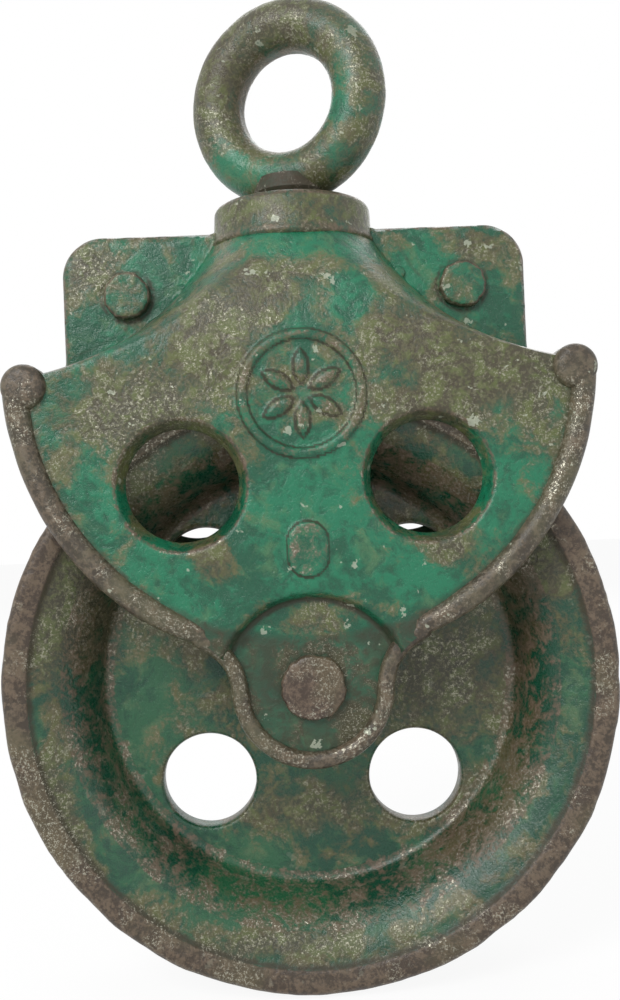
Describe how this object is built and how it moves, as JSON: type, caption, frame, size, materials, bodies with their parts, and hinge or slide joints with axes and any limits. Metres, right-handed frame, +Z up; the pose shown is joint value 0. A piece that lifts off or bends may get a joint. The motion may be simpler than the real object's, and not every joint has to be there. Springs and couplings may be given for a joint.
{
  "type": "swivel eye rope pulley",
  "caption": "Cast iron barn pulley: a grooved rope wheel turns on a pin between two riveted cheeks with round windows, hung from a swivelling ring.",
  "frame": {"origin": "centre of the hole of the ring, where a hook or shackle carries the pulley", "axes": "+X to the right seen from the front, along the ears; -Y towards the viewer, along the axle; +Z up along the swivel shank"},
  "size_m": [0.1524, 0.0636, 0.254],
  "materials": {
    "cheek_enamel": "worn green enamel over rusty cast iron",
    "wheel_enamel": "worn green enamel over rusty cast iron",
    "eye_enamel": "worn green enamel over rusty iron",
    "bare_iron": "brown worn iron, burnished at its edge",
    "washer_iron": "dull brown iron"
  },
  "bodies": {
    "eye": {"swivel_eye": "eye_enamel", "swivel_washer": "washer_iron"},
    "housing": {"front_cheek": "cheek_enamel", "rear_cheek": "cheek_enamel", "axle_pin": "bare_iron", "left_rivet": "cheek_enamel", "right_rivet": "cheek_enamel", "locating_pin": "bare_iron"},
    "wheel": {"wheel": "wheel_enamel"}
  },
  "joints": [
    {"name": "housing_swivel", "type": "hinge", "parent": "eye", "child": "housing", "pos_m": [0, 0, -0.0375], "axis": [0, 0, 1], "continuous": true},
    {"name": "wheel_spin", "type": "hinge", "parent": "housing", "child": "wheel", "pos_m": [0, 0, -0.1505], "axis": [0, 1, 0], "continuous": true}
  ]
}
